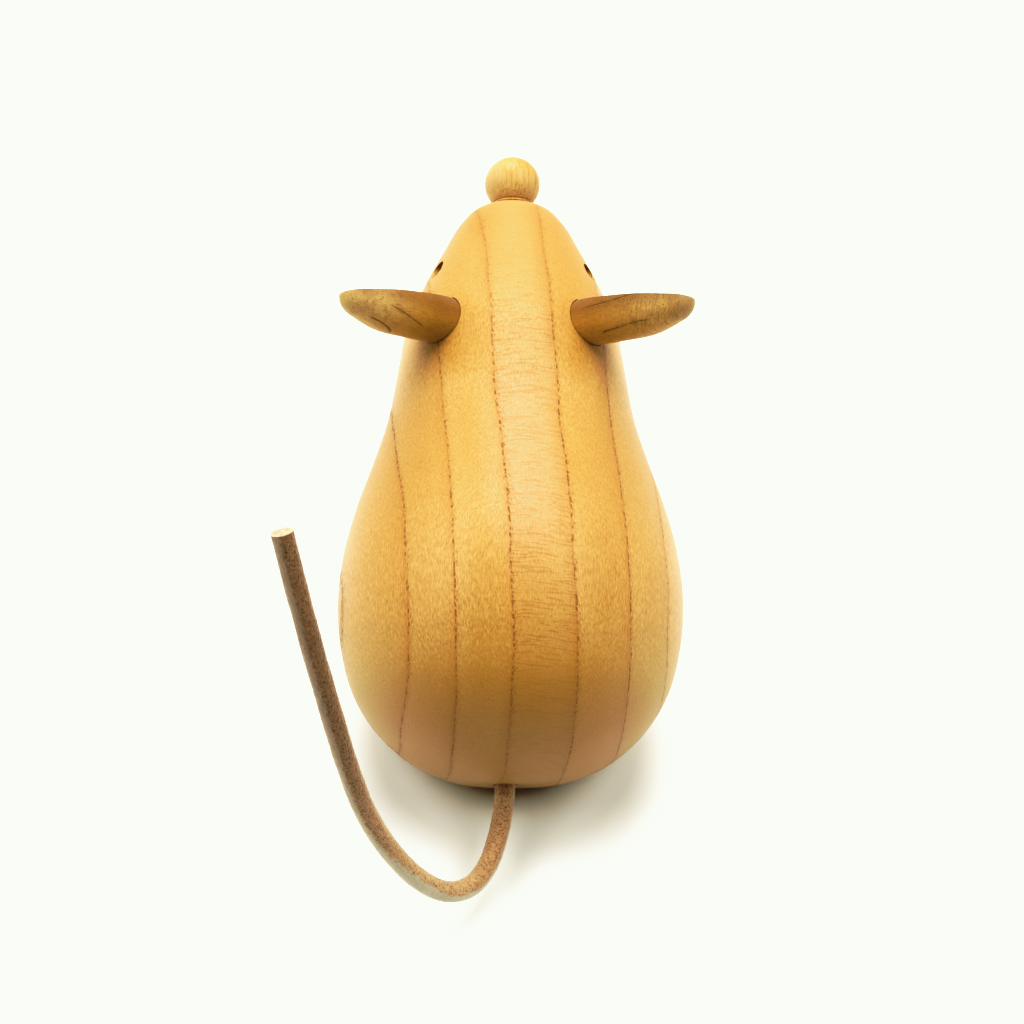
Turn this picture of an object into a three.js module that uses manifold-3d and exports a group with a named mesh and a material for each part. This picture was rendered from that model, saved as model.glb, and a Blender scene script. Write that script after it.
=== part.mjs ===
// A turned wooden rodent: a pear-shaped body that stands on a flat cut under its rear with the
// nose in the air, a ball for a nose, two ears let into the head and a tail of round leather.
// Millimetres, +Z up, +Y towards the nose. The origin is on the flat, under the widest part.
import * as THREE from 'three';
import { mergeVertices } from 'three/addons/utils/BufferGeometryUtils.js';
import Module from 'manifold-3d';

const wasm = await Module();
wasm.setup();

// Body
const bodyRadius = 30.3;
const rearLength = 36.3; // from the widest part back to the tail
const frontLength = 69.2; // from the widest part to the seat of the nose
const bodyTilt = 28; // degrees that the nose is raised by
const standHeight = 26.5; // of the widest part's centre above the flat

// Nose
const noseRadius = 5.1;
const noseSeatDepth = 1.2; // how far the ball sinks into the front of the body

// Ears
const earLength = 21.2; // outside the head
const earRadius = 4.65;
const earRootDepth = 8;
const earSpot = [0.618, 42.3]; // share of the front length, degrees round from the head's top
const earRise = 40.2; // degrees that the ear rises outwards
const earFaceOffset = 3.5; // from the ear's middle line to its flat face, at the root
const earFaceTurn = 8.5; // degrees that the face runs in towards the tip

// Eyes
const eyeDrill = 3.2;
const eyeDepth = 5;
const eyeSpot = [0.785, 63.5]; // the same for the middle of an eye

// Tail
const tailThickness = 3.75;
const tailRootDepth = 10;
const tailHoleLeft = 0.8; // the hole is drilled a little left of the body's axis
const tailRise = 63.9; // from the mouth of the hole to the tip, square to the body's axis

// Gap that is left between pieces that touch
const clearance = 0.3;

// Half of the turned outline, from the tail to the nose: shares of the rear or front length
// and of the radius.
const bodyOutline = [
  [-1, 0], [-1, 0.277], [-0.922, 0.536], [-0.776, 0.751], [-0.583, 0.902], [-0.361, 0.978],
  [-0.13, 1], [0.052, 0.972], [0.17, 0.903], [0.285, 0.812], [0.401, 0.73], [0.521, 0.68],
  [0.64, 0.631], [0.754, 0.535], [0.863, 0.408], [0.93, 0.322], [0.98, 0.206], [1, 0],
];

// Outline of an ear as it was turned: shares of its length and of its radius.
const earOutline = [
  [0, 0.914], [0.3, 0.985], [0.6, 0.99], [0.85, 0.72], [0.93, 0.57], [0.98, 0.34], [1, 0],
];

// The tail's middle line from the mouth of its hole, in shares of its rise: to the right, along
// the body's axis towards the nose, and up from the axis.
const tailRoute = [
  [-0.0063, -0.0751, 0.0016], [-0.0219, -0.1502, 0.0156], [-0.0454, -0.2144, 0.0454],
  [-0.0798, -0.2645, 0.0845], [-0.1236, -0.2895, 0.1268], [-0.1721, -0.2895, 0.1737],
  [-0.23, -0.2629, 0.2394], [-0.2942, -0.205, 0.3286], [-0.3552, -0.1205, 0.4444],
  [-0.3975, -0.0235, 0.5618], [-0.4351, 0.0908, 0.6854], [-0.4726, 0.2144, 0.8028],
  [-0.507, 0.3349, 0.8983], [-0.5477, 0.4867, 1],
];

const radians = THREE.MathUtils.degToRad;

const wood = new THREE.MeshStandardMaterial({ color: '#d9a550', roughness: 0.45, metalness: 0 });
const noseWood = new THREE.MeshStandardMaterial({ color: '#d49c48', roughness: 0.45, metalness: 0 });
const earWood = new THREE.MeshStandardMaterial({ color: '#b07a38', roughness: 0.45, metalness: 0 });
const leather = new THREE.MeshStandardMaterial({ color: '#80583c', roughness: 0.8, metalness: 0 });

// A solid for the booleans, without the seams and the flat triangles of a turned shape.
function solid(geometry) {
  const plain = geometry.clone();
  plain.deleteAttribute('normal');
  plain.deleteAttribute('uv');
  const merged = mergeVertices(plain, 1e-4);
  const corners = merged.index.array;
  const kept = [];
  for (let i = 0; i < corners.length; i += 3) {
    const [a, b, c] = [corners[i], corners[i + 1], corners[i + 2]];
    if (a !== b && b !== c && c !== a) {
      kept.push(a, b, c);
    }
  }
  const mesh = new wasm.Mesh({
    numProp: 3,
    vertProperties: new Float32Array(merged.attributes.position.array),
    triVerts: new Uint32Array(kept),
  });
  return new wasm.Manifold(mesh);
}

function geometryOf(manifold) {
  const mesh = manifold.getMesh();
  const geometry = new THREE.BufferGeometry();
  geometry.setAttribute('position', new THREE.BufferAttribute(mesh.vertProperties, 3));
  geometry.setIndex(new THREE.BufferAttribute(mesh.triVerts, 1));
  geometry.computeVertexNormals();
  return geometry;
}

function placed(geometry, object) {
  object.updateMatrix();
  return geometry.clone().applyMatrix4(object.matrix);
}

function bodyCurve() {
  const points = bodyOutline.map(([along, out]) => {
    const station = along * (along < 0 ? rearLength : frontLength);
    return new THREE.Vector2(out * bodyRadius, station);
  });
  return new THREE.SplineCurve(points);
}

// The body's radius at a distance in front of its widest part.
function radiusAt(station) {
  const points = bodyCurve().getPoints(160);
  const next = points.findIndex((point, i) => i > 8 && point.y >= station);
  const [low, high] = [points[next - 1], points[next]];
  return THREE.MathUtils.mapLinear(station, low.y, high.y, low.x, high.x);
}

// A point on the front of the body's surface, round from its top towards a side of -1 or 1.
function onSurface([share, round], side) {
  const station = share * frontLength;
  const radius = radiusAt(station);
  const angle = radians(round);
  return new THREE.Vector3(side * radius * Math.sin(angle), station, radius * Math.cos(angle));
}

// The group that holds everything that is turned on the body's axis, which is its own Y.
function axisGroup() {
  const group = new THREE.Group();
  group.position.z = standHeight;
  group.rotation.x = radians(bodyTilt);
  return group;
}

// An ear lies along X with its flat face towards +Y. Extra makes it thicker, for its socket.
function earGeometry(extra = 0) {
  const profile = earOutline.map(
    ([along, out]) => new THREE.Vector2(out * earRadius, along * earLength),
  );
  profile.unshift(new THREE.Vector2(0.8 * earRadius, -earRootDepth));
  const curve = new THREE.SplineCurve(profile).getPoints(21);
  const outline = curve.map((point, i) => {
    const radius = i === curve.length - 1 ? 0 : point.x + extra;
    return new THREE.Vector2(radius, point.y);
  });
  outline[0].y -= extra;
  outline.unshift(new THREE.Vector2(0, outline[0].y));
  const turned = new THREE.LatheGeometry(outline, 24);
  turned.rotateZ(-Math.PI / 2);

  const waste = new THREE.BoxGeometry(4 * earLength, 2 * earRadius, 4 * earRadius);
  waste.translate(0, earRadius + extra, 0);
  waste.rotateZ(-radians(earFaceTurn));
  waste.translate(0, earFaceOffset, 0);
  return geometryOf(solid(turned).subtract(solid(waste)));
}

function placeEar(object, side) {
  object.position.copy(onSurface(earSpot, side));
  object.rotation.y = side > 0 ? -radians(earRise) : Math.PI + radians(earRise);
  return object;
}

function makeEar(side) {
  const ear = new THREE.Mesh(earGeometry(), earWood.clone());
  ear.name = side > 0 ? 'ear_right' : 'ear_left';
  return placeEar(ear, side);
}

function placeNose(object) {
  object.position.y = frontLength + noseRadius - noseSeatDepth;
  return object;
}

function makeNose() {
  const ball = new THREE.SphereGeometry(noseRadius, 24, 16);
  const nose = new THREE.Mesh(geometryOf(solid(ball)), noseWood);
  nose.name = 'nose';
  return placeNose(nose);
}

function noseSeat() {
  return placed(new THREE.SphereGeometry(noseRadius + clearance, 24, 16), placeNose(new THREE.Object3D()));
}

function earSocket(side) {
  return placed(earGeometry(clearance), placeEar(new THREE.Object3D(), side));
}

// A round hole, drilled straight at the body's axis.
function eyeHole(side) {
  const hole = new THREE.Object3D();
  hole.position.copy(onSurface(eyeSpot, side));
  hole.rotation.y = side * radians(eyeSpot[1]);
  const drill = new THREE.CylinderGeometry(eyeDrill / 2, eyeDrill / 2, 2 * eyeDepth, 24);
  drill.rotateX(Math.PI / 2);
  return placed(drill, hole);
}

function tailHole() {
  const depth = tailRootDepth + clearance;
  const radius = tailThickness / 2 + clearance;
  const drill = new THREE.CylinderGeometry(radius, radius, 2 * depth, 24);
  drill.translate(-tailHoleLeft, -rearLength, 0);
  return drill;
}

// Everything under the table's height, as the turned body sees it.
function baseWaste(group) {
  const size = 4 * frontLength;
  const waste = new THREE.BoxGeometry(size, size, size);
  waste.translate(0, 0, -size / 2);
  group.updateMatrix();
  return waste.applyMatrix4(group.matrix.clone().invert());
}

function makeBody(group) {
  const outline = bodyCurve().getPoints(40);
  outline[0].x = 0;
  outline[outline.length - 1].x = 0;
  let shape = solid(new THREE.LatheGeometry(outline, 60));
  const cuts = [
    baseWaste(group), noseSeat(), tailHole(), earSocket(-1), earSocket(1), eyeHole(-1), eyeHole(1),
  ];
  for (const cut of cuts) {
    shape = shape.subtract(solid(cut));
  }
  const body = new THREE.Mesh(geometryOf(shape), wood);
  body.name = 'body';
  return body;
}

// The tail is glued into its hole, leaves along the body's axis and bends left and upwards.
function makeTail() {
  const mouth = new THREE.Vector3(-tailHoleLeft, -rearLength, 0);
  const inner = mouth.clone().add(new THREE.Vector3(0, tailRootDepth, 0));
  const outside = tailRoute.map((share) => {
    return new THREE.Vector3(...share).multiplyScalar(tailRise).add(mouth);
  });
  const curve = new THREE.CatmullRomCurve3([inner, mouth, ...outside]);
  const section = new THREE.Shape();
  section.absarc(0, 0, tailThickness / 2, 0, 2 * Math.PI);
  const tube = new THREE.ExtrudeGeometry(section, {
    steps: 34,
    curveSegments: 5,
    extrudePath: curve,
    bevelEnabled: false,
  });
  const tail = new THREE.Mesh(tube, leather);
  tail.name = 'tail';
  return tail;
}

const figure = axisGroup();
figure.add(makeBody(figure), makeNose(), makeEar(-1), makeEar(1), makeTail());

export default figure;
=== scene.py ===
"""A turned wooden mouse: body, ball nose, let-in ears, drilled eyes and a round leather tail."""

import math

import bpy
from mathutils import Matrix, Vector


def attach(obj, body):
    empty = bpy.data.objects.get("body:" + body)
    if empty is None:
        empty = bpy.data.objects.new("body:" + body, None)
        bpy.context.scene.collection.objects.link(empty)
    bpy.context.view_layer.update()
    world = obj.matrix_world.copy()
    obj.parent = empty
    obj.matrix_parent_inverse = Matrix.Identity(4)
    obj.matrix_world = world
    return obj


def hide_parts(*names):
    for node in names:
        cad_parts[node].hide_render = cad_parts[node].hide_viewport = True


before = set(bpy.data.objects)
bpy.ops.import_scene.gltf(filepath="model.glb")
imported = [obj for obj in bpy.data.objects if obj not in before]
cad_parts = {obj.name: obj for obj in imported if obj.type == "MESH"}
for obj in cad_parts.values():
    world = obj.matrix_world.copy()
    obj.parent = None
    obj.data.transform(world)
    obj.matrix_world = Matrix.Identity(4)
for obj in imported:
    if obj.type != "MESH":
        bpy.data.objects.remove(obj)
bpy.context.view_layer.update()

MM = 0.001  # in metres

TILT = math.radians(28)  # of the turning axis, nose up
STAND_HEIGHT = 26.5  # of the widest part's centre, in mm as all that follows

# Half of the turned outline, from the tail to the nose: shares of the length and of the radius.
BODY_RADIUS = 30.29
REAR_LENGTH = 36.3
FRONT_LENGTH = 69.2
BODY_OUTLINE = [
    (-1, 0), (-1, 0.277), (-0.922, 0.536), (-0.776, 0.751), (-0.583, 0.902), (-0.361, 0.978),
    (-0.13, 1), (0.052, 0.972), (0.17, 0.903), (0.285, 0.812), (0.401, 0.73), (0.521, 0.68),
    (0.64, 0.631), (0.754, 0.535), (0.863, 0.408), (0.93, 0.322), (0.98, 0.206), (1, 0),
]

NOSE_RADIUS = 5.07
NOSE_SEAT_RISE = 3.9  # of the ball's centre above the front of the body
NOSE_SEAT_DEPTH = 1.1
NOSE_NECK_RADIUS = 3.2
NOSE_GROOVE_RADIUS = 3.6
# Radius and height above the front of the body, up to the groove under the ball.
NOSE_BEAD = [
    (3.2, -1.1), (3.2, -0.3), (3.42, -0.24), (3.56, -0.13), (3.6, 0), (3.54, 0.12), (3.4, 0.19),
    (3.3, 0.22),
]

EAR_LENGTH = 21.2
EAR_RADIUS = 4.65
EAR_ROOT_DEPTH = 8
EAR_STATION = 0.618 * FRONT_LENGTH
EAR_ROUND = math.radians(42.3)
EAR_RISE = math.radians(40.2)
EAR_FACE_OFFSET = 3.5
EAR_FACE_TURN = math.radians(8.5)
EAR_OUTLINE = [
    (0, 0.914), (0.3, 0.985), (0.6, 0.99), (0.85, 0.72), (0.93, 0.57), (0.98, 0.34), (1, 0),
]

EYE_RADIUS = 1.6
EYE_DEPTH = 5
EYE_STATION = 0.785 * FRONT_LENGTH
EYE_ROUND = math.radians(63.5)

TAIL_RADIUS = 1.875
TAIL_ROOT_DEPTH = 10
TAIL_LENGTH = 115.9  # with its root
TAIL_PARTS = 16  # between two points of its route
TAIL_STEPS = 88  # round it
NAP_HEIGHT = 0.14  # that the leather is cut thinner by before it is roughened
TAIL_MOUTH = Vector((-0.8, -REAR_LENGTH, 0))
# From the mouth of the tail's hole: right, along the turning axis, up from the axis.
TAIL_ROUTE = [
    (-0.4, -4.8, 0.1), (-1.4, -9.6, 1), (-2.9, -13.7, 2.9), (-5.1, -16.9, 5.4),
    (-7.9, -18.5, 8.1), (-11, -18.5, 11.1), (-14.7, -16.8, 15.3), (-18.8, -13.1, 21),
    (-22.7, -7.7, 28.4), (-25.4, -1.5, 35.9), (-27.8, 5.8, 43.8), (-30.2, 13.7, 51.3),
    (-32.4, 21.4, 57.4), (-35, 31.1, 63.9),
]

# Gaps between pieces.
SOCKET_GAP = 0.14
TAIL_HOLE_GAP = 0.12
NOSE_SEAT_GAP = 0.1

SEAM_WIDTH = 0.002  # within which the ends of a turned shape are joined

# How finely the pieces are turned, in steps round.
BODY_STEPS = 256
SMALL_STEPS = 96
DRILL_STEPS = 64
BALL_STEPS = 48  # from the top of the ball to its underside

# Where the turning axis is placed: everything turned has it as its own Y.
AXIS_PLACE = Matrix.Translation((0, 0, STAND_HEIGHT * MM)) @ Matrix.Rotation(TILT, 4, "X")

CAMERA_PLACE = Vector((-13.69, -232.76, 321.7))
CAMERA_AIM = Vector((0.09, 8.81, 33.89))
CAMERA_ROLL = math.radians(3.18)
CAMERA_HALF_WIDTH = 512 / 2133  # of the picture, as a share of the distance to it

# The soft boxes: which way each leans from straight above, how far, and its power in watts.
SOFT_BOX_AIM = Vector((0, 10, 30))
SOFT_BOX_DISTANCE = 1300
SOFT_BOX_SIZE = 900
SOFT_BOXES = {
    "soft box above": (0, 20, 18.0),
    "soft box beyond": (0, 60, 19.0),
    "soft box left": (270, 40, 12.6),
    "soft box right": (90, 40, 12.0),
}
FLOOR_SIZE = 1400
FLOOR_WHITE = (0.86, 0.865, 0.85, 1)
ROOM_SHOWN = 1.5  # how bright the white room looks
ROOM_LIGHT = 0.02  # how much light it gives

# How the film turns light into tone: red and green follow the first curve, and blue the second.
FILM_CURVE = [
    (0, 0), (0.05, 0.025), (0.12, 0.085), (0.25, 0.205), (0.4, 0.41), (0.6, 0.635), (0.8, 0.83),
]
BLUE_CURVE = [
    (0, 0), (0.05, 0.017), (0.12, 0.06), (0.25, 0.155), (0.4, 0.33), (0.6, 0.545), (0.8, 0.76),
]
PAPER_WHITE = (0.955, 0.973, 0.925)
FILM_LIMIT = 1.3  # the light at which paper white is reached


# ---- camera, light and floor

def add_camera():
    bpy.ops.object.camera_add(location=CAMERA_PLACE * MM)
    camera = bpy.context.object
    look = (CAMERA_AIM * MM - camera.location).to_track_quat("-Z", "Y")
    roll = Matrix.Rotation(CAMERA_ROLL, 4, "Z")
    camera.rotation_euler = (look.to_matrix().to_4x4() @ roll).to_euler()
    camera.data.angle = 2 * math.atan(CAMERA_HALF_WIDTH)
    camera.data.clip_start = 0.01
    bpy.context.scene.camera = camera


def add_soft_box(name, side, lean, power):
    """A round soft box that leans from straight above towards a side, both in degrees."""
    side, lean = math.radians(side), math.radians(lean)
    out, up = math.sin(lean), math.cos(lean)
    away = Vector((math.sin(side) * out, math.cos(side) * out, up))
    bpy.ops.object.light_add(type="AREA", location=(SOFT_BOX_AIM + SOFT_BOX_DISTANCE * away) * MM)
    lamp = bpy.context.object
    lamp.name = name
    lamp.data.shape = "DISK"
    lamp.data.size = SOFT_BOX_SIZE * MM
    lamp.data.energy = power
    lamp.rotation_euler = (-away).to_track_quat("-Z", "Y").to_euler()


def set_film():
    """Whites that roll off to a warm paper white, and slightly deeper shadows."""
    view = bpy.context.scene.view_settings
    view.view_transform = "Standard"
    view.use_curve_mapping = True
    mapping = view.curve_mapping
    mapping.use_clip = False
    mapping.extend = "HORIZONTAL"
    films = (FILM_CURVE, FILM_CURVE, BLUE_CURVE)
    for curve, film, white in zip(mapping.curves, films, PAPER_WHITE):
        points = film + [(1.0, 0.99 * white), (FILM_LIMIT, white)]
        curve.points[0].location = points[0]
        curve.points[1].location = points[-1]
        for point in points[1:-1]:
            curve.points.new(*point)
        for point in curve.points:
            point.handle_type = "AUTO_CLAMPED"
    mapping.update()


def set_room():
    """A white room that shows beyond the floor and gives the object hardly any light."""
    world = bpy.data.worlds.new("white room")
    world.use_nodes = True
    tree = world.node_tree
    tree.nodes["Background"].inputs["Color"].default_value = (1, 1, 1, 1)
    shown = tree.nodes.new("ShaderNodeLightPath").outputs["Is Camera Ray"]
    strength = tree.nodes.new("ShaderNodeMath")
    strength.operation = "MULTIPLY_ADD"
    strength.inputs[1].default_value = ROOM_SHOWN
    strength.inputs[2].default_value = ROOM_LIGHT
    tree.links.new(shown, strength.inputs[0])
    tree.links.new(strength.outputs[0], tree.nodes["Background"].inputs["Strength"])
    bpy.context.scene.world = world


def add_floor():
    deselect()
    bpy.ops.mesh.primitive_plane_add(size=FLOOR_SIZE * MM)
    floor = bpy.context.object
    floor.name = "floor"
    finish = Finish("white table", 0.6)
    finish.shader.inputs["Base Color"].default_value = FLOOR_WHITE
    finish.put_on(floor)


# ---- modelling

def deselect():
    bpy.ops.object.select_all(action="DESELECT")


def select_only(piece):
    deselect()
    piece.select_set(True)
    bpy.context.view_layer.objects.active = piece


def edit(piece):
    """Enters edit mode with everything selected."""
    select_only(piece)
    bpy.ops.object.mode_set(mode="EDIT")
    bpy.ops.mesh.select_all(action="SELECT")


def pick(piece, edges=None, faces=None):
    """Enters edit mode with the edges or the faces selected that a test picks."""
    edit(piece)
    bpy.ops.mesh.select_mode(type="EDGE" if edges else "FACE")
    bpy.ops.mesh.select_all(action="DESELECT")
    leave_edit()
    points = piece.data.vertices
    for edge in piece.data.edges if edges else ():
        edge.select = edges(edge, [points[v].co for v in edge.vertices])
    for face in piece.data.polygons if faces else ():
        face.select = faces(face)
    bpy.ops.object.mode_set(mode="EDIT")


def leave_edit():
    bpy.ops.object.mode_set(mode="OBJECT")


def between(p1, p2, v0, v1, t):
    """A point of the smooth way from one point to the next, with its direction given at both."""
    return ((2 * p1 - 2 * p2 + v0 + v1) * t ** 3
            + (3 * p2 - 3 * p1 - 2 * v0 - v1) * t ** 2 + v0 * t + p1)


def smooth_run(points, parts=12):
    """Points along a uniform Catmull-Rom curve whose end points count twice."""
    points = [Vector(point) for point in points]
    run = []
    for i in range(len(points) - 1):
        p0, p1 = points[max(i - 1, 0)], points[i]
        p2, p3 = points[i + 1], points[min(i + 2, len(points) - 1)]
        v0, v1 = (p2 - p0) / 2, (p3 - p1) / 2
        run += [between(p1, p2, v0, v1, k / parts) for k in range(parts)]
    return run + [points[-1]]


def turn(name, outline, steps):
    """A solid turned on the Y axis from (radius, station) points in mm."""
    deselect()
    first = Vector((0, outline[0][1] * MM, outline[0][0] * MM))
    bpy.ops.mesh.primitive_plane_add(size=MM, location=first)
    piece = bpy.context.object
    piece.name = name
    bpy.ops.object.transform_apply(location=True, rotation=True, scale=True)
    edit(piece)
    bpy.ops.mesh.merge(type="CENTER")
    for (r0, y0), (r1, y1) in zip(outline, outline[1:]):
        step = Vector((0, (y1 - y0) * MM, (r1 - r0) * MM))
        bpy.ops.mesh.extrude_region_move(TRANSFORM_OT_translate={"value": step})
    bpy.ops.mesh.select_all(action="SELECT")
    bpy.ops.mesh.spin(steps=steps, angle=2 * math.pi, center=(0, 0, 0), axis=(0, 1, 0))
    bpy.ops.mesh.select_all(action="SELECT")
    bpy.ops.mesh.remove_doubles(threshold=SEAM_WIDTH * MM)
    bpy.ops.mesh.normals_make_consistent(inside=False)
    leave_edit()
    return piece


def place(piece, matrix):
    """Moves a piece and applies the move, so that its place is in its mesh."""
    select_only(piece)
    piece.matrix_world = matrix @ piece.matrix_world
    bpy.ops.object.transform_apply(location=True, rotation=True, scale=True)
    return piece


def slice_off(piece, point, normal):
    """Cuts away what lies on the side that the normal points to, and closes the cut."""
    edit(piece)
    bpy.ops.mesh.bisect(plane_co=point, plane_no=normal, use_fill=True, clear_outer=True,
                        threshold=1e-7)
    leave_edit()


def cut(piece, tool):
    """Takes the tool's shape out of the piece and throws the tool away."""
    deselect()
    bpy.context.view_layer.objects.active = piece
    modifier = piece.modifiers.new("cut", "BOOLEAN")
    modifier.operation = "DIFFERENCE"
    modifier.solver = "EXACT"
    modifier.object = tool
    bpy.ops.object.modifier_apply(modifier=modifier.name)
    bpy.data.objects.remove(tool)


def smooth(piece, degrees=35):
    select_only(piece)
    bpy.ops.object.shade_smooth_by_angle(angle=math.radians(degrees))


def body_run():
    """The turned outline as (radius, station) points in mm, from the tail to the nose."""
    stations = [(out * BODY_RADIUS, along * (REAR_LENGTH if along < 0 else FRONT_LENGTH))
                for along, out in BODY_OUTLINE]
    return [(point.x, point.y) for point in smooth_run([(r, y, 0) for r, y in stations])]


def body_radius_at(station):
    """The body's radius at a station in front of its widest part."""
    run = body_run()[12:]
    for (r0, y0), (r1, y1) in zip(run, run[1:]):
        if y0 <= station < y1:
            return r0 + (r1 - r0) * (station - y0) / (y1 - y0)


def on_body(station, angle, side):
    """A point on the body's surface in mm, in the turning axis's own frame."""
    radius = body_radius_at(station)
    return Vector((side * radius * math.sin(angle), station, radius * math.cos(angle)))


def ear_frame(side):
    """The frame of an ear, with Y along it and its flat face towards -X, in metres."""
    root = on_body(EAR_STATION, EAR_ROUND, side) * MM
    along = Vector((side * math.cos(EAR_RISE), 0, math.sin(EAR_RISE)))
    back = Vector((0, -1, 0))
    turned = Matrix((back, along, back.cross(along))).transposed().to_4x4()
    return AXIS_PLACE @ Matrix.Translation(root) @ turned


def turned_ear(name, side, extra=0.0):
    """An ear in its place. Extra makes it thicker, for its socket."""
    outline = [(0.8 * EAR_RADIUS, -EAR_ROOT_DEPTH)]
    outline += [(out * EAR_RADIUS, along * EAR_LENGTH) for along, out in EAR_OUTLINE]
    run = [(p.x + extra, p.y) for p in smooth_run([(r, y, 0) for r, y in outline], 10)]
    run[-1] = (0, run[-1][1])
    run = [(0, run[0][1] - extra), (run[0][0], run[0][1] - extra)] + run[1:]
    ear = turn(name, run, SMALL_STEPS)
    turn_in = Matrix.Rotation(-EAR_FACE_TURN, 3, "Z")
    point = Vector((-EAR_FACE_OFFSET - extra, 0, 0)) * MM
    slice_off(ear, point, turn_in @ Vector((-1, 0, 0)))
    return place(ear, ear_frame(side))


def make_ear(side):
    return turned_ear("right_ear" if side > 0 else "left_ear", side)


def drill(name, radius, mouth, inwards, depth, flare=0.15):
    """A drilling tool with a slightly broken edge, at a mouth in the axis's frame in mm."""
    run = [(0, -depth - 0.3 * radius), (radius, -depth), (radius, -flare)]
    run += [(radius + flare, 0), (radius + flare, 3), (0, 3)]
    tool = turn(name, run, DRILL_STEPS)
    aim = (-inwards).to_track_quat("Y", "Z").to_matrix().to_4x4()
    return place(tool, AXIS_PLACE @ Matrix.Translation(mouth * MM) @ aim)


def make_body():
    """Turned, cut flat underneath, and drilled for the ears, the eyes, the tail and the nose."""
    outline = body_run()
    outline[0] = (0, outline[0][1])
    body = turn("turned_body", [outline[0]] + outline[8:], BODY_STEPS)
    place(body, AXIS_PLACE)
    slice_off(body, (0, 0, 0), (0, 0, -1))
    for side in (-1, 1):
        cut(body, turned_ear("socket", side, SOCKET_GAP))
        mouth = on_body(EYE_STATION, EYE_ROUND, side)
        inwards = Vector((-side * math.sin(EYE_ROUND), 0, -math.cos(EYE_ROUND)))
        cut(body, drill("eye_drill", EYE_RADIUS, mouth, inwards, EYE_DEPTH))
    forwards = Vector((0, 1, 0))
    hole_radius = TAIL_RADIUS + TAIL_HOLE_GAP
    cut(body, drill("tail_drill", hole_radius, TAIL_MOUTH, forwards, TAIL_ROOT_DEPTH))
    radius, floor, top = NOSE_NECK_RADIUS + NOSE_SEAT_GAP, -NOSE_SEAT_DEPTH - NOSE_SEAT_GAP, 4
    seat = [(0, floor), (radius, floor), (radius, top), (0, top)]
    tool = turn("nose_seat", [(r, FRONT_LENGTH + y) for r, y in seat], SMALL_STEPS)
    cut(body, place(tool, AXIS_PLACE))
    return body


def make_nose():
    """A ball with a small bead under it, where it is let into the body."""
    centre = FRONT_LENGTH + NOSE_SEAT_RISE
    run = [(0, FRONT_LENGTH - NOSE_SEAT_DEPTH)]
    run += [(r, FRONT_LENGTH + y) for r, y in NOSE_BEAD]
    start = math.asin(NOSE_GROOVE_RADIUS / NOSE_RADIUS)
    for i in range(BALL_STEPS + 1):
        angle = start + (math.pi - start) * i / BALL_STEPS
        run.append((NOSE_RADIUS * math.sin(angle), centre - NOSE_RADIUS * math.cos(angle)))
    run[-1] = (0, run[-1][1])
    return place(turn("ball_nose", run, SMALL_STEPS), AXIS_PLACE)


def tail_run():
    """The tail's middle line in mm: a centripetal Catmull-Rom curve through its route."""
    inner = TAIL_MOUTH + Vector((0, TAIL_ROOT_DEPTH, 0))
    points = [inner, TAIL_MOUTH] + [TAIL_MOUTH + Vector(point) for point in TAIL_ROUTE]
    points = [2 * points[0] - points[1]] + points + [2 * points[-1] - points[-2]]
    run = []
    for i in range(1, len(points) - 2):
        p0, p1, p2, p3 = points[i - 1:i + 3]
        d0, d1, d2 = ((b - a).length ** 0.5 for a, b in ((p0, p1), (p1, p2), (p2, p3)))
        v0 = ((p1 - p0) / d0 - (p2 - p0) / (d0 + d1) + (p2 - p1) / d1) * d1
        v1 = ((p2 - p1) / d1 - (p3 - p1) / (d1 + d2) + (p3 - p2) / d2) * d1
        run += [between(p1, p2, v0, v1, k / TAIL_PARTS) for k in range(TAIL_PARTS)]
    return run + [points[-2]]


def make_tail():
    """The leather is cut and roughened straight, and then bent along its route."""
    route = [AXIS_PLACE @ (point * MM) for point in tail_run()]
    tail = straight_leather(sum((b - a).length for a, b in zip(route, route[1:])))
    roughen(tail)
    bend_along(tail, route)
    edit(tail)
    bpy.ops.mesh.normals_make_consistent(inside=False)
    leave_edit()
    return tail


def straight_leather(length):
    """Leather along X from the origin, with every point's straight place stored in mm."""
    deselect()
    bpy.ops.mesh.primitive_cylinder_add(
        vertices=TAIL_STEPS, radius=(TAIL_RADIUS - NAP_HEIGHT) * MM, depth=length,
        location=(length / 2, 0, 0), rotation=(0, math.pi / 2, 0))
    tail = bpy.context.object
    tail.name = "leather_tail"
    bpy.ops.object.transform_apply(location=True, rotation=True, scale=True)
    for cuts in (99, 4):
        pick(tail, edges=lambda edge, ends: abs(ends[0].x - ends[1].x) > 0.01 * MM)
        bpy.ops.mesh.subdivide(number_cuts=cuts)
        leave_edit()
    pick(tail, faces=lambda face: abs(face.normal.x) > 0.9)
    for thickness in (0.12, 0.5, 0.5):
        bpy.ops.mesh.inset(thickness=thickness * MM)
    leave_edit()

    straight = tail.data.attributes.new("straight", "FLOAT_VECTOR", "POINT")
    for vertex, store in zip(tail.data.vertices, straight.data):
        store.vector = vertex.co / MM
    return tail


def roughen(tail):
    nap = bpy.data.textures.new("nap", "CLOUDS")
    nap.noise_scale = 0.45 * MM
    nap.noise_depth = 2
    waves = bpy.data.textures.new("uneven cut", "CLOUDS")
    waves.noise_scale = 5 * MM
    for texture, strength in ((nap, 0.17), (waves, 0.14)):
        rough = tail.modifiers.new(texture.name, "DISPLACE")
        rough.texture = texture
        rough.texture_coords = "LOCAL"
        rough.mid_level = 0.5
        rough.strength = strength * MM
        bpy.ops.object.modifier_apply(modifier=rough.name)


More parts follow.
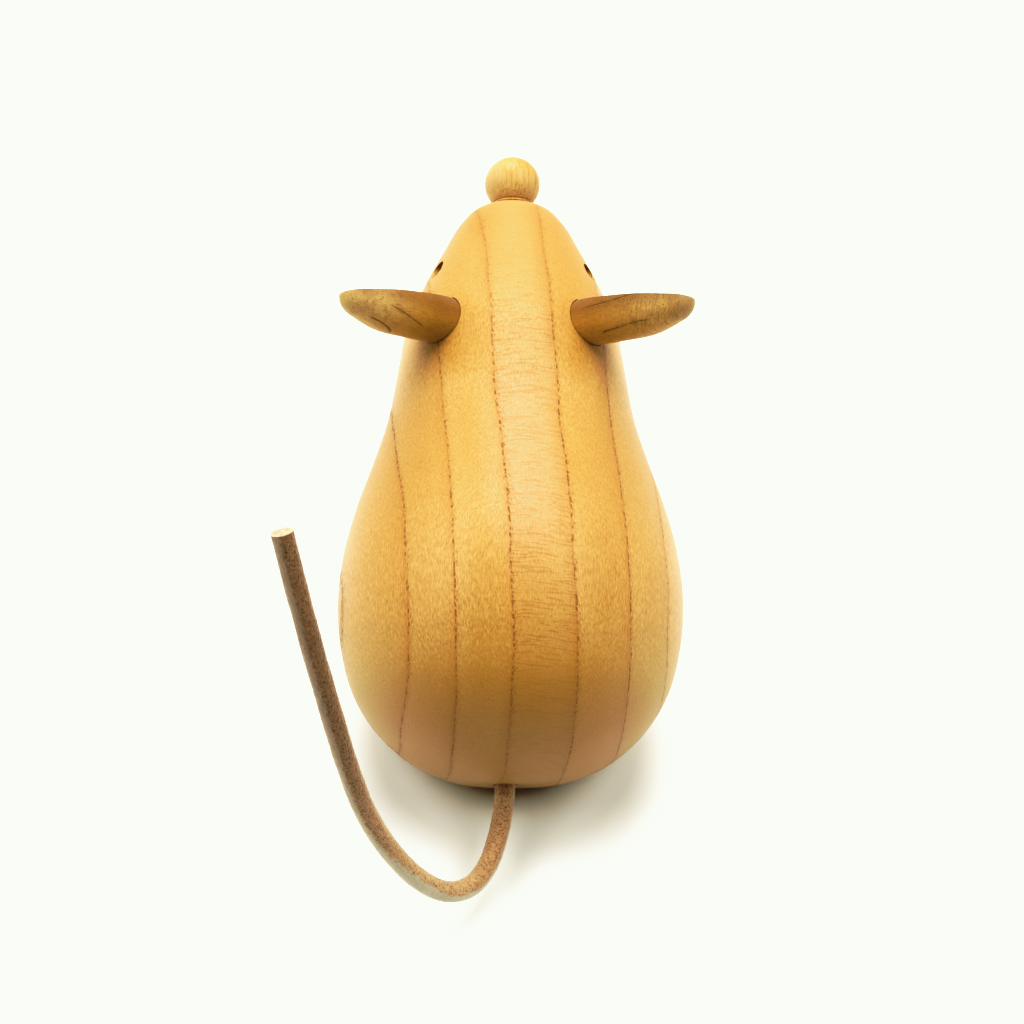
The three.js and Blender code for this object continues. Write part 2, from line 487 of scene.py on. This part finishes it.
def bend_along(tail, route):
    line = bpy.data.curves.new("tail_line", "CURVE")
    line.dimensions = "3D"
    line.twist_mode = "MINIMUM"
    spline = line.splines.new("POLY")
    spline.points.add(len(route) - 1)
    for point, store in zip(route, spline.points):
        store.co = (*point, 1)
    guide = bpy.data.objects.new("tail_line", line)
    bpy.context.scene.collection.objects.link(guide)
    bend = tail.modifiers.new("bend", "CURVE")
    bend.object = guide
    bend.deform_axis = "POS_X"
    bpy.ops.object.modifier_apply(modifier=bend.name)
    bpy.data.objects.remove(guide)


# ---- finishes

class Value:
    """A number, colour or vector on its way through a finish's nodes."""

    def __init__(self, finish, socket):
        self.finish = finish
        self.socket = socket

    def math(self, operation, *others):
        values = dict(enumerate((self,) + others))
        return self.finish.node("ShaderNodeMath", {"operation": operation}, values)

    def __add__(self, other):
        return self.math("ADD", other)

    def __mul__(self, other):
        return self.math("MULTIPLY", other)

    def __sub__(self, other):
        return self.math("SUBTRACT", other)

    def __truediv__(self, other):
        return self.math("DIVIDE", other)

    def __rsub__(self, other):
        return self * -1 + other

    __radd__ = __add__
    __rmul__ = __mul__

    def fract(self):
        return self.math("FRACT")

    def abs(self):
        return self.math("ABSOLUTE")

    def least(self, other):
        return self.math("MINIMUM", other)

    def most(self, other):
        return self.math("MAXIMUM", other)

    def sine(self):
        return self.math("SINE")

    def floor(self):
        return self.math("FLOOR")

    def ease(self, low, high):
        """0 below low, 1 above high and smooth between; the other way round if low is higher."""
        start, end = (0, 1) if low < high else (1, 0)
        values = {"Value": self, "From Min": min(low, high), "From Max": max(low, high),
                  "To Min": start, "To Max": end}
        return self.finish.node("ShaderNodeMapRange", {"interpolation_type": "SMOOTHSTEP"}, values)

    def ramp(self, low, high):
        """0 below low, 1 above high and even between."""
        values = {"Value": self, "From Min": low, "From Max": high}
        return self.finish.node("ShaderNodeMapRange", {"clamp": True}, values)


class Finish:
    """A material, built node by node."""

    def __init__(self, name, roughness, shine=0.36):
        self.material = bpy.data.materials.new(name)
        self.material.use_nodes = True
        self.tree = self.material.node_tree
        self.shader = self.tree.nodes["Principled BSDF"]
        self.set("Roughness", roughness)
        self.set("Specular IOR Level", shine)

    def put_on(self, piece):
        piece.data.materials.clear()
        piece.data.materials.append(self.material)

    def connect(self, value, socket):
        if isinstance(value, Value):
            self.tree.links.new(value.socket, socket)
        else:
            socket.default_value = value

    def set(self, name, value):
        """Gives the shader's own socket a value."""
        self.connect(value, self.shader.inputs[name])

    def node(self, kind, settings, values, output=0):
        node = self.tree.nodes.new(kind)
        for name, setting in settings.items():
            setattr(node, name, setting)
        for name, value in values.items():
            self.connect(value, node.inputs[name])
        return Value(self, node.outputs[output])

    def own_frame(self, matrix):
        """Object coordinates in mm in the frame that the matrix places, as three numbers."""
        point = self.node("ShaderNodeTexCoord", {}, {}, "Object")
        values = {"Vector": point, "Location": matrix.to_translation(),
                  "Rotation": matrix.to_euler(), "Scale": (MM, MM, MM)}
        local = self.node("ShaderNodeMapping", {"vector_type": "TEXTURE"}, values)
        return self.apart(local)

    def apart(self, vector):
        return [self.node("ShaderNodeSeparateXYZ", {}, {"Vector": vector}, axis) for axis in "XYZ"]

    def vector(self, x, y, z):
        return self.node("ShaderNodeCombineXYZ", {}, {"X": x, "Y": y, "Z": z})

    def noise(self, x, y, z, detail=2.0, rough=0.5):
        place = self.vector(x, y, z)
        values = {"Vector": place, "Scale": 1.0, "Detail": detail, "Roughness": rough}
        return self.node("ShaderNodeTexNoise", {}, values)

    def cells(self, x, y, z):
        """How far the nearest of many scattered points is."""
        values = {"Vector": self.vector(x, y, z), "Scale": 1.0, "Randomness": 1.0}
        return self.node("ShaderNodeTexVoronoi", {}, values, "Distance")

    def blend(self, share, first, second):
        """A colour between two colours."""
        node = self.tree.nodes.new("ShaderNodeMix")
        node.data_type = "RGBA"
        self.connect(share, node.inputs["Factor"])
        for name, colour in (("A", first), ("B", second)):
            socket = next(s for s in node.inputs if s.name == name and s.type == "RGBA")
            self.connect(colour if isinstance(colour, Value) else (*colour, 1), socket)
        return Value(self, next(s for s in node.outputs if s.type == "RGBA"))

    def brighten(self, colour, amount):
        """The colour times a number."""
        values = {0: colour, "Scale": amount}
        return self.node("ShaderNodeVectorMath", {"operation": "SCALE"}, values)

    def tint(self, colour, factors, share=None):
        """The colour times a colour, or a share of the way to that."""
        values = {0: colour, 1: factors}
        tinted = self.node("ShaderNodeVectorMath", {"operation": "MULTIPLY"}, values)
        return tinted if share is None else self.blend(share, colour, tinted)

    def facing(self, direction):
        """How far the surface faces along a direction, from -1 to 1."""
        normal = self.node("ShaderNodeTexCoord", {}, {}, "Normal")
        values = {0: normal, 1: direction}
        return self.node("ShaderNodeVectorMath", {"operation": "DOT_PRODUCT"}, values, "Value")

    def patch(self, x, y, x0, y0, width, length):
        """1 in the middle of a soft oval and 0 outside it."""
        across, along = (x - x0) / width, (y - y0) / length
        return (across * across + along * along).ease(1, 0)

    def soft_edge(self, weight, tint, roughness=0.5):
        """A soft pale gloss where the surface turns away."""
        self.set("Sheen Weight", weight)
        self.set("Sheen Roughness", roughness)
        self.set("Sheen Tint", (*tint, 1))

    def relief(self, height, depth):
        """Bumps as high as the depth in mm where the height goes from 0 to 1."""
        values = {"Height": height, "Distance": depth * MM, "Strength": 1.0}
        self.set("Normal", self.node("ShaderNodeBump", {}, values))


# The body's wood. Tints are what a colour is multiplied by.
GOLD = (0.47, 0.24, 0.072)
PALE_GOLD = (0.50, 0.275, 0.10)
SILVER_GRAIN = (0.51, 0.28, 0.12)
PINK_GRAIN = (0.53, 0.275, 0.14)
LATE_WOOD = (0.42, 0.19, 0.045)
LINE_EDGE = (0.36, 0.15, 0.025)
SIDE_PORE = (0.20, 0.08, 0.012)
REAR_PORE = (0.33, 0.125, 0.018)
STRAY_PORE = (0.30, 0.12, 0.02)
DEEP_TINT = (0.84, 0.76, 0.45)
REAR_CURVE_GRAIN_AND_SHADE_TINT = (0.77, 0.815, 0.63)
REAR_END_GRAIN_AND_SHADE_TINT = (0.85, 0.73, 0.74)
FRONT_TINT = (0.80, 0.74, 0.62)
REAR_LEFT_TINT = (1.0, 1.03, 1.12)
DARK_FIBRE_TINT = (0.74, 0.64, 0.42)
BRIGHT_FIBRE_TINT = (1.24, 1.34, 1.6)
WOOD_SHEEN = (1.0, 0.92, 0.75)

# Where the dark lines between the growth rings lie across the body, in mm, and how the rings
# lean, in mm across for each mm along the axis and up from it.
RING_LINES = [-48, -39, -30.2, -20.75, -13.07, -4.27, 6.36, 15.95, 24.21, 32, 41]
RING_LEAN_ALONG = 0.0439
RING_LEAN_UP = 0.1022
SILVER_RING = 5  # the one that lies flat enough to show its rays as ripples

# Where the body is painted a deeper gold, beside the ears' roots among other places: across the
# body, along it, half the width, half the length and how much.
DEEP_PATCHES = [
    (-9.5, 38.5, 6, 10, 0.9), (9.5, 39, 5.5, 10, 0.8), (-8.5, 20, 3.5, 16, 0.35),
    (-8.5, -10, 5, 18, 0.6), (10.8, -3, 4.5, 12, 0.6), (22, -8, 4, 14, 0.4),
]
PINK_PATCH = (-2, 14, 8, 24)


def body_finish():
    """Ring-porous wood: thin dark lines of open pores between the rings, which are planes."""
    finish = Finish("oiled golden wood", 0.42, 0.3)
    x, s, q = finish.own_frame(AXIS_PLACE)
    drift = finish.noise(x / 15, s / 18, q / 15, 1.0) - 0.5
    mottled = finish.noise(x / 2.5, s / 2.5, q / 2.5, 1.0) - 0.5
    jitter = finish.noise(x / 1.3, s / 2.6, q / 1.3, 1.0) - 0.5
    across = x + s * RING_LEAN_ALONG - q * RING_LEAN_UP + drift * 1.6 + jitter * 0.22
    ray = q + x * RING_LEAN_UP - s * 0.02
    ripple = s + (x - 1) * (x - 1) * 0.012 + drift * 2 + mottled * 0.5

    rings = across * 0
    for low, high in zip(RING_LINES, RING_LINES[1:]):
        rings = rings + across.ramp(low, high)
    share = rings.fract()  # of the way through a ring
    order = rings.floor()
    off_line = share.least(1 - share)

    # Which parts are cut across the grain, from the way that they face; the rear's tints are
    # partly painted shade.
    along = finish.facing(AXIS_PLACE.to_3x3() @ Vector((0, 1, 0)))
    front_grain = along.ease(0.08, 0.62)
    rear_grain = (along * -1).ease(0.08, 0.62)
    rear_curve, rear_end = (along * -1).ease(0.02, 0.45), (along * -1).ease(0.3, 0.68)
    end_grain = front_grain + rear_grain
    left_side = across.ease(-4, -24)

    # The lines between the rings, worn fainter towards the nose, and the pores beside them.
    late = share.ease(0.7, 1.0)
    halo = off_line.ease(0.09, 0.0)
    core = off_line.ease(0.026, 0.008)
    dots = finish.cells(x / 0.5, s / 0.85, q / 0.5).ease(0.62, 0.3)
    worn = s.ease(66, 20) * 0.6 + 0.4
    early = share.ease(0.14, 0.02)
    pores = finish.cells(x / 0.42, s / 0.9, q / 0.42).ease(0.36, 0.2)
    open_pores = (pores * early * 0.55).most(core * (dots * 0.85 + 0.15) * worn)
    stray = finish.cells(x / 0.7, s / 1.6, q / 0.7).ease(0.18, 0.08) * (1 - early)

    # Fine fibres with glints between them, and the ripples on the silver ring.
    fibres = finish.noise(x / 0.18, s / 1.1, q / 0.18, 2.0, 0.62) - 0.48
    glints = finish.cells(x / 0.34, s / 1.3, q / 0.34).ease(0.42, 0.12)
    mottle = finish.noise(x / 0.45, s / 0.5, q / 0.45, 2.0) - 0.5
    clouds = finish.noise(x / 11, s / 20, q / 11, 2.0) - 0.5
    flecks = finish.noise(x / 3, s / 1.5, ray / 0.17, 2.0, 0.5) - 0.5
    silver = (order - SILVER_RING).abs().ease(1.0, 0.0)
    waves = finish.noise(x / 4.5, ripple / 0.37, q / 9, 2.0, 0.6)
    silver_lines = waves.ease(0.5, 0.62) * silver * (s.ease(60, 40) * 0.5 + 0.5)

    pale = (order * 1.9 + 0.4).sine() * 0.5 + 0.5  # every ring has its own shade
    colour = finish.blend(pale * 0.6 + clouds * 0.8 + 0.1, GOLD, PALE_GOLD)
    colour = finish.blend(silver * s.ease(-10, 12) * s.ease(60, 30), colour, SILVER_GRAIN)
    colour = finish.blend(finish.patch(across, s, *PINK_PATCH) * 0.5, colour, PINK_GRAIN)
    deep = across * 0
    for *oval, much in DEEP_PATCHES:
        deep = deep.most(finish.patch(across, s, *oval) * much)
    colour = finish.tint(colour, DEEP_TINT, deep)
    colour = finish.blend(late * 0.5, colour, LATE_WOOD)
    colour = finish.blend(halo * 0.3, colour, LINE_EDGE)
    pore_colour = finish.blend(rear_grain, SIDE_PORE, REAR_PORE)
    colour = finish.blend(open_pores * 0.9, colour, pore_colour)
    colour = finish.blend(stray * 0.25, colour, STRAY_PORE)
    # Painted shade, partly end grain: the rear's curve and end are tinted darker, as the rear
    # faces away from the lamps.
    colour = finish.tint(colour, REAR_CURVE_GRAIN_AND_SHADE_TINT, rear_curve)
    colour = finish.tint(colour, REAR_END_GRAIN_AND_SHADE_TINT, rear_end)
    colour = finish.tint(colour, FRONT_TINT, front_grain)
    colour = finish.tint(colour, REAR_LEFT_TINT, left_side * rear_grain)

    fine = fibres * 1.9 + mottle * 0.6 + flecks * (1 - silver) * 0.5
    fine = fine * (1 - silver * 0.35) + glints * (1 - silver * 0.6) * 0.25
    fine = fine + (waves - 0.5) * silver * 0.8 - silver_lines * 0.45
    fine = fine * (1 - end_grain * 0.6)
    fine_tint = finish.blend((fine + 0.5).ramp(0, 1), DARK_FIBRE_TINT, BRIGHT_FIBRE_TINT)
    finish.set("Base Color", finish.tint(colour, fine_tint))
    finish.set("Roughness", 0.42 + flecks * 0.12 + open_pores * 0.25 + front_grain * 0.22)
    finish.soft_edge(0.14, WOOD_SHEEN)
    ripples = (waves - 0.5) * silver * 0.3
    finish.relief(fibres * 0.2 - open_pores * 0.9 - stray * 0.3 + ripples, 0.08)
    return finish


BALL_WOOD = (0.56, 0.35, 0.16)
BALL_STREAK = (0.48, 0.28, 0.10)
BALL_DARK_STREAK = (0.30, 0.15, 0.03)
BALL_SPECK = (0.26, 0.12, 0.02)
SHADED_BALL_TOP = (0.45, 0.19, 0.045)
BALL_LEFT = (0.60, 0.40, 0.21)


def nose_finish():
    """Fine-grained wood, streaked along the axis and speckled under the ball."""
    finish = Finish("oiled ball wood", 0.5, 0.2)
    x, s, q = finish.own_frame(AXIS_PLACE)
    streaks = finish.noise(x / 0.4, s / 7, q / 0.4, 2.0, 0.55)
    fibres = finish.noise(x / 0.2, s / 1.4, q / 0.2, 2.0) - 0.5
    specks = finish.cells(x / 0.5, s / 0.8, q / 0.5).ease(0.34, 0.18) * s.ease(73.5, 70.5)
    dark_streaks = streaks.ease(0.52, 0.68) * x.ease(-4, 2)
    colour = finish.blend(streaks.ease(0.35, 0.65), BALL_WOOD, BALL_STREAK)
    colour = finish.blend(dark_streaks * 0.4, colour, BALL_DARK_STREAK)
    colour = finish.blend(specks * 0.5, colour, BALL_SPECK)
    # Painted shade: the ball is darker towards its far end.
    colour = finish.blend(s.ease(72.5, 78), colour, SHADED_BALL_TOP)
    colour = finish.blend(x.ease(0, -4.5) * 0.6, colour, BALL_LEFT)
    finish.set("Base Color", finish.brighten(colour, fibres * 0.35 + 1.0))
    finish.set("Roughness", 0.5 + dark_streaks * 0.2)
    finish.relief(streaks * -0.4 - specks * 0.5, 0.06)
    return finish


# How the planes of an ear's growth rings lie, as shares of its own X, Y and Z, and for each dark
# line between them its place and the stretch of the ear that it shows on, in mm. -1 is the left
# ear and 1 the right one.
EAR_RINGS = {
    -1: ((0.97, 0.239, 0.05), ((4.6, 6.5, 14.2), (7.17, 11, 16.6))),
    1: ((1.0, 0.045, 0.0), ((-0.85, 1.5, 12), (3.75, 4.5, 14.5))),
}
EAR_LINE_HALF_WIDTH = {-1: 0.11, 1: 0.19}
EAR_UNEVEN = {-1: 0.4, 1: 1.6}
EAR_RIPPLES = {-1: 0.25, 1: 1.1}
EAR_BLOTCHES = {-1: 0.38, 1: 0.2}
EAR_DARK_END = {-1: 0.4, 1: 0.8}

# An ear's wood in the middle, at the root, where painted shade darkens it against the body, and at
# the tip, where a painted reflection makes it paler.
EAR_WOODS = {
    -1: ((0.43, 0.235, 0.05), (0.345, 0.17, 0.025), (0.60, 0.40, 0.185)),
    1: ((0.45, 0.25, 0.062), (0.43, 0.215, 0.038), (0.48, 0.30, 0.115)),
}
EAR_CREST_SHADE_TINTS = {-1: (0.50, 0.42, 0.33), 1: (0.43, 0.365, 0.29)}
EAR_FRONT_SHADE_TINT = (0.6, 0.57, 0.52)
EAR_END = (0.30, 0.185, 0.085)
EAR_BLOTCH = (0.30, 0.15, 0.055)
EAR_LINE_EDGE = (0.28, 0.13, 0.02)
EAR_PORE = (0.16, 0.07, 0.014)
EAR_LINE = (0.15, 0.052, 0.009)


def ear_lines(finish, across, s, side):
    """The dark lines between the rings, and the soft shade beside them."""
    core, halo = across * 0, across * 0
    for level, start, end in EAR_RINGS[side][1]:
        off_line = (across - level).abs()
        stretch = s.ease(start - 0.5, start + 0.8) * s.ease(end + 0.5, end - 0.8)
        core = core.most(off_line.ease(EAR_LINE_HALF_WIDTH[side], 0.03) * stretch)
        halo = halo.most(off_line.ease(0.9, 0.0) * stretch)
    return core, halo


def ear_finish(side):
    """Darker wood, with rays that show as ripples across the right ear."""
    finish = Finish("oiled ear wood " + ("right" if side > 0 else "left"), 0.5, 0.25)
    place = ear_frame(side)
    x, s, q = finish.own_frame(place)
    nx, ns, nq = EAR_RINGS[side][0]
    drift = finish.noise(x / 5, s / 7, q / 5, 1.0) - 0.5
    jitter = finish.noise(x / 0.8, s / 1.2, q / 0.8, 1.0) - 0.5
    uneven = (drift * 0.2 + jitter * 0.12) * EAR_UNEVEN[side]
    core, halo = ear_lines(finish, x * nx + s * ns + q * nq + uneven, s, side)
    if side > 0:
        dots = finish.cells(x / 0.5, s / 0.6, q / 0.5).ease(0.7, 0.3)
        core = core * (dots * 0.5 + 0.5)

    fibres = finish.noise(x / 0.2, s / 1.3, q / 0.2, 2.0, 0.6) - 0.5
    pores = finish.noise(x / 0.35, s / 0.35, q / 0.35, 2.0, 0.6).ease(0.58, 0.7)
    blotches = finish.noise(x / 1.6, s / 2.2, q / 1.6, 2.0)
    bow = s + x * 0.25 + x * x * 0.04 + drift
    ripples = finish.noise(x / 2.0, bow / 0.22, q / 2.2, 1.0, 0.5) - 0.5
    rays = ripples * s.ease(7.5, 12) * s.ease(20.5, 18) * EAR_RIPPLES[side]

    # The parts of the ear: along it, and from the way that they face.
    turn_out = place.to_3x3()
    upward = finish.facing(turn_out @ Vector((0, 0, side)))
    front = finish.facing(turn_out @ Vector((-1, 0, 0))).ease(0.3, 0.9)
    crest = finish.facing(turn_out @ Vector((-0.75, 0, side * 0.66))).ease(0.3, 0.88)
    root = s.ease(9, 3)
    tip = s.ease(7, 17) * 0.7
    end = s.ease(17, 20.8) * EAR_DARK_END[side]
    rough_top = blotches.ease(0.42, 0.6) * upward.ease(0.2, 0.8) * s.ease(8, 12)

    middle_wood, shaded_root_wood, lit_tip_wood = EAR_WOODS[side]
    # Painted shade at the root and a painted reflection towards the tip.
    colour = finish.blend(root, middle_wood, shaded_root_wood)
    colour = finish.blend(tip, colour, lit_tip_wood)
    colour = finish.blend(end, colour, EAR_END)
    colour = finish.blend(rough_top * EAR_BLOTCHES[side], colour, EAR_BLOTCH)
    colour = finish.blend(halo * 0.2, colour, EAR_LINE_EDGE)
    colour = finish.blend(pores * 0.3, colour, EAR_PORE)
    colour = finish.blend(core * 0.85, colour, EAR_LINE)
    # Painted shade: the crest, which faces up and forwards, is tinted darker.
    colour = finish.tint(colour, EAR_CREST_SHADE_TINTS[side], crest)
    # Painted shade: the flat front face, which faces the lamps, is tinted darker.
    colour = finish.tint(colour, EAR_FRONT_SHADE_TINT, front)
    finish.set("Base Color", finish.brighten(colour, fibres * 0.75 + rays + 1.0))
    finish.set("Roughness", 0.5 + fibres * 0.2 + pores * 0.1)
    finish.soft_edge(0.12, WOOD_SHEEN)
    finish.relief(fibres * 0.3 - core * 0.8 - pores * 0.6 + rays * 0.5, 0.1)
    return finish


# The leather near the hole and near the tip, on its rough side and on its smooth side.
ROUGH_LEATHER = ((0.42, 0.255, 0.15), (0.20, 0.098, 0.055))
SMOOTH_LEATHER = ((0.50, 0.43, 0.355), (0.27, 0.19, 0.15))
LOOP_LEATHER = (0.36, 0.20, 0.105)  # the rough side of the lower bend
ROOT_LEATHER = (0.55, 0.33, 0.19)
LEATHER_MARK = (0.07, 0.028, 0.012)
LEATHER_END = ((0.50, 0.35, 0.24), (0.32, 0.185, 0.11))
LEATHER_SHEEN = (0.95, 0.85, 0.72)


def leather_finish():
    """Round leather: pale and smooth on its outer side, brown and fibrous on its inner side."""
    finish = Finish("rough round leather", 0.8)
    point = finish.node("ShaderNodeAttribute", {"attribute_name": "straight"}, {}, "Vector")
    along, y, z = finish.apart(point)
    fade = along.ease(42, 84)

    # The smooth side, which turns over from the loop to the rising part.
    turn_over = along.ease(44, 62)
    outer_low = y * 0.34 - z * 0.41
    outer_high = y * -0.14 - z * 0.515
    outwards = outer_low + (outer_high - outer_low) * turn_over
    ragged = finish.noise(along / 1.1, y / 0.6, z / 0.6, 3.0, 0.6) - 0.5
    smooth_side = (outwards + ragged * 0.9).ease(0.1, 0.42)

    fibres = finish.noise(along / 0.5, y / 0.22, z / 0.22, 3.0, 0.65) - 0.5
    curls = finish.noise(along / 0.35, y / 0.6, z / 0.6, 2.0, 0.6)
    marks = finish.cells(along / 1.1, y / 0.55, z / 0.55).ease(0.26, 0.12)
    blotches = finish.noise(along / 5, y / 2, z / 2, 2.0) - 0.5

    rough = finish.blend(fade, *ROUGH_LEATHER)
    near_hole = along.ease(36, 26) * along.ease(12, 18)
    rough = finish.blend(near_hole * 0.6, rough, LOOP_LEATHER)
    rough = finish.blend(along.ease(17, 10) * 0.7, rough, ROOT_LEATHER)
    rough = finish.brighten(rough, 1.12 - curls.ease(0.45, 0.64) * 0.42 + fibres * 1.5)
    smooth_skin = finish.blend(fade, *SMOOTH_LEATHER)
    smooth_skin = finish.brighten(smooth_skin, fibres * 0.5 + 1.0)
    colour = finish.blend(smooth_side, rough, smooth_skin)
    colour = finish.blend(marks * (1 - smooth_side * 0.7) * 0.7, colour, LEATHER_MARK)
    cut_end = along.ease(TAIL_LENGTH - 0.12, TAIL_LENGTH - 0.06)
    end_colour = finish.blend(curls.ease(0.4, 0.65), *LEATHER_END)
    colour = finish.blend(cut_end, colour, end_colour)
    finish.set("Base Color", finish.brighten(colour, blotches * 0.4 + 1.0))
    finish.soft_edge(0.7, LEATHER_SHEEN, 0.4)
    finish.relief((curls + fibres * 0.7 - marks * 0.6) * (1 - smooth_side * 0.6), 0.16)
    return finish


# ---- the figure

def join_up(piece, node, finish):
    """Gives a piece its finish, hangs it from the root and hides the solid that it stands for."""
    finish.put_on(piece)
    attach(piece, "root")
    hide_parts(node)


deselect()
add_camera()
set_film()
set_room()
for name, (side, lean, power) in SOFT_BOXES.items():
    add_soft_box(name, side, lean, power)
add_floor()

body = make_body()
nose = make_nose()
ears = {side: make_ear(side) for side in (-1, 1)}
tail = make_tail()
for piece in (body, nose, *ears.values()):
    smooth(piece)
smooth(tail, 60)

join_up(body, "body", body_finish())
join_up(nose, "nose", nose_finish())
join_up(ears[-1], "ear_left", ear_finish(-1))
join_up(ears[1], "ear_right", ear_finish(1))
join_up(tail, "tail", leather_finish())
